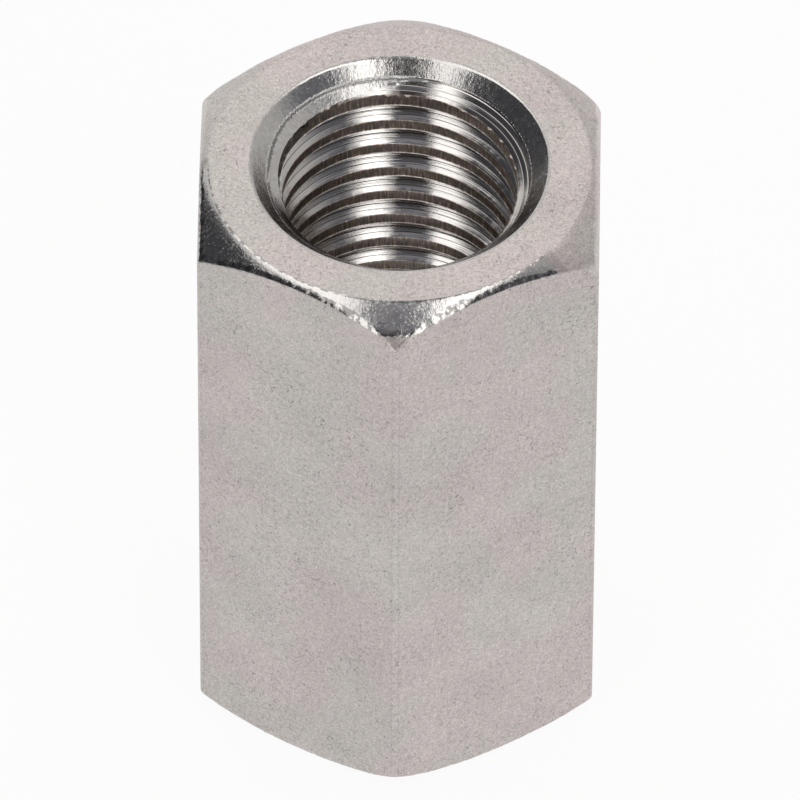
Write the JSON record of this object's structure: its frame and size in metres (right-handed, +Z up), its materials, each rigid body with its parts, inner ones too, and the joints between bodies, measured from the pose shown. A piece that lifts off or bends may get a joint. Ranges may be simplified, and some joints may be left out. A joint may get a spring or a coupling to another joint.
{
  "type": "coupling nut",
  "caption": "Long hexagon nut with chamfered ends and a countersunk, tapped through bore that joins threaded rods end to end.",
  "frame": {"origin": "centre of the lower end face, on the bore's axis", "axes": "+Z up the bore's axis, from the lower end face to the upper one; one corner of the hexagon points along -Y and two of the flats face +X and -X"},
  "size_m": [0.0238, 0.0272, 0.0403],
  "materials": {
    "stainless_steel": "flats and end faces tumbled to a fine matt grey, end chamfers, countersinks and thread left bright as cut"
  },
  "bodies": {
    "root": {"coupling_nut": "stainless_steel"}
  },
  "joints": []
}
